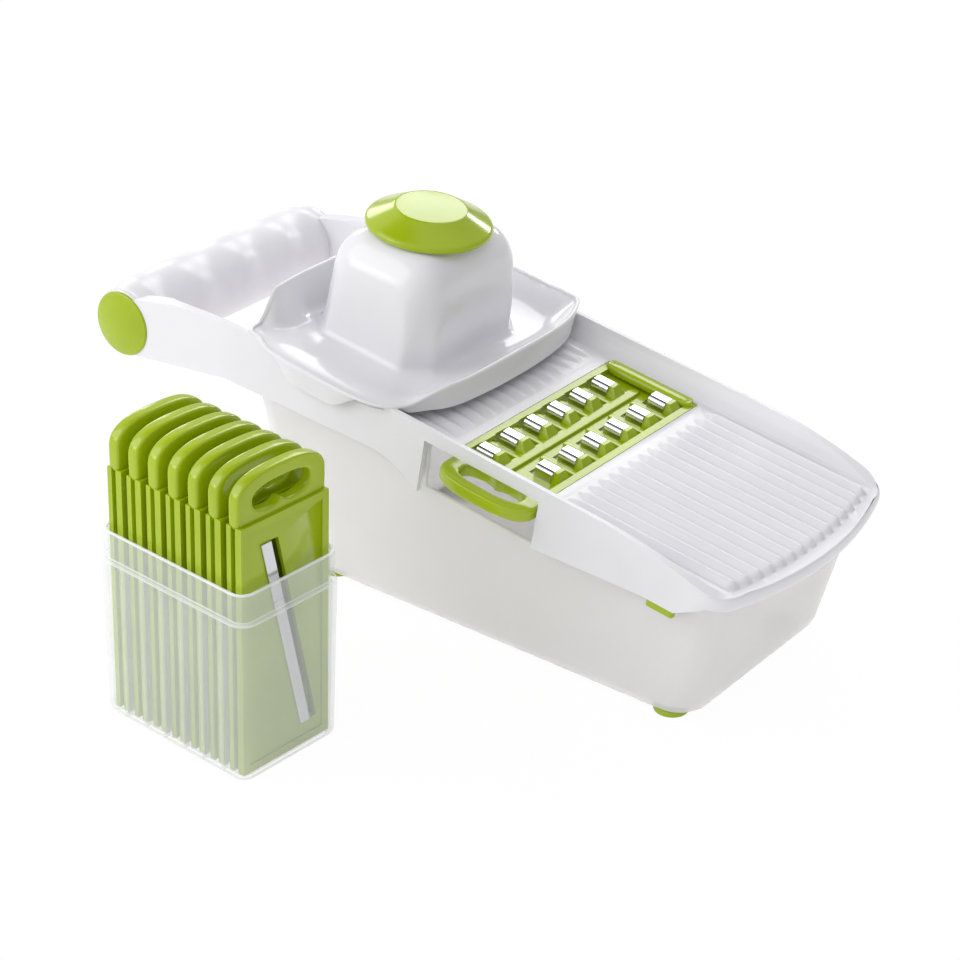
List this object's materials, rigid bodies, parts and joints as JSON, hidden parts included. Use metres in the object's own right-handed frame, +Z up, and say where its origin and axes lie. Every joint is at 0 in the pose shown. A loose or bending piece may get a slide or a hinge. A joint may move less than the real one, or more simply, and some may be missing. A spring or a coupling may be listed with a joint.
{
  "type": "mandoline slicer",
  "caption": "Sloping mandoline slicer board on a frosted catch container, with a sliding hand guard and pusher, a drop-in grater insert and a case of spare cutting inserts.",
  "frame": {"origin": "on the table, under the middle of the set's bounding box", "axes": "+X to the ribbed front of the board, +Y to the left seen from the handle, +Z up"},
  "size_m": [0.3198, 0.2494, 0.1566],
  "materials": {
    "white_plastic": "glossy moulded ABS",
    "green_plastic": "glossy moulded ABS",
    "green_rubber": "satin elastomer",
    "frosted_plastic": "frosted translucent polypropylene",
    "stainless_steel": "bright rolled steel"
  },
  "bodies": {
    "container": {"catch_container": "frosted_plastic", "foot_front_right": "green_rubber", "foot_front_left": "green_rubber", "foot_rear_right": "green_rubber", "foot_rear_left": "green_rubber"},
    "board": {"slicer_board": "white_plastic", "handle_cap_right": "green_plastic", "handle_cap_left": "green_plastic", "board_pad_right": "green_rubber", "board_pad_left": "green_rubber"},
    "grater": {"grater_frame": "green_plastic", "grater_teeth": "stainless_steel"},
    "guard": {"guard_body": "white_plastic"},
    "pusher": {"guard_knob": "green_plastic", "pusher_plate": "white_plastic", "food_pins": "stainless_steel"},
    "case": {"storage_case": "frosted_plastic"},
    "fine_grater": {"fine_grater_frame": "green_plastic", "fine_grater_sheet": "stainless_steel"},
    "coarse_grater": {"coarse_grater_frame": "green_plastic", "coarse_grater_sheet": "stainless_steel"},
    "fine_julienne": {"fine_julienne_frame": "green_plastic", "fine_julienne_blade": "stainless_steel"},
    "coarse_julienne": {"coarse_julienne_frame": "green_plastic", "coarse_julienne_blade": "stainless_steel"},
    "crinkle_slicer": {"crinkle_slicer_frame": "green_plastic", "crinkle_slicer_blade": "stainless_steel"},
    "thick_slicer": {"thick_slicer_frame": "green_plastic", "thick_slicer_blade": "stainless_steel"},
    "thin_slicer": {"thin_slicer_frame": "green_plastic", "thin_slicer_blade": "stainless_steel"}
  },
  "joints": [
    {"name": "board_lift", "type": "slide", "parent": "container", "child": "board", "axis": [0, 0, 1], "range_m": [0, 0.06]},
    {"name": "insert_slide", "type": "slide", "parent": "board", "child": "grater", "axis": [0, -1, 0], "range_m": [0, 0.058]},
    {"name": "guard_slide", "type": "slide", "parent": "board", "child": "guard", "axis": [0.9903, 0, -0.1392], "range_m": [-0.005, 0.14]},
    {"name": "pusher_lift", "type": "slide", "parent": "guard", "child": "pusher", "axis": [0.1392, 0, 0.9903], "range_m": [0, 0.025]},
    {"name": "case_lift", "type": "slide", "parent": "container", "child": "case", "axis": [0, 0, 1], "range_m": [0, 0.1]},
    {"name": "fine_grater_lift", "type": "slide", "parent": "case", "child": "fine_grater", "axis": [0, 0, 1], "range_m": [0, 0.11]},
    {"name": "coarse_grater_lift", "type": "slide", "parent": "case", "child": "coarse_grater", "axis": [0, 0, 1], "range_m": [0, 0.11]},
    {"name": "fine_julienne_lift", "type": "slide", "parent": "case", "child": "fine_julienne", "axis": [0, 0, 1], "range_m": [0, 0.11]},
    {"name": "coarse_julienne_lift", "type": "slide", "parent": "case", "child": "coarse_julienne", "axis": [0, 0, 1], "range_m": [0, 0.11]},
    {"name": "crinkle_slicer_lift", "type": "slide", "parent": "case", "child": "crinkle_slicer", "axis": [0, 0, 1], "range_m": [0, 0.11]},
    {"name": "thick_slicer_lift", "type": "slide", "parent": "case", "child": "thick_slicer", "axis": [0, 0, 1], "range_m": [0, 0.11]},
    {"name": "thin_slicer_lift", "type": "slide", "parent": "case", "child": "thin_slicer", "axis": [0, 0, 1], "range_m": [0, 0.11]}
  ]
}
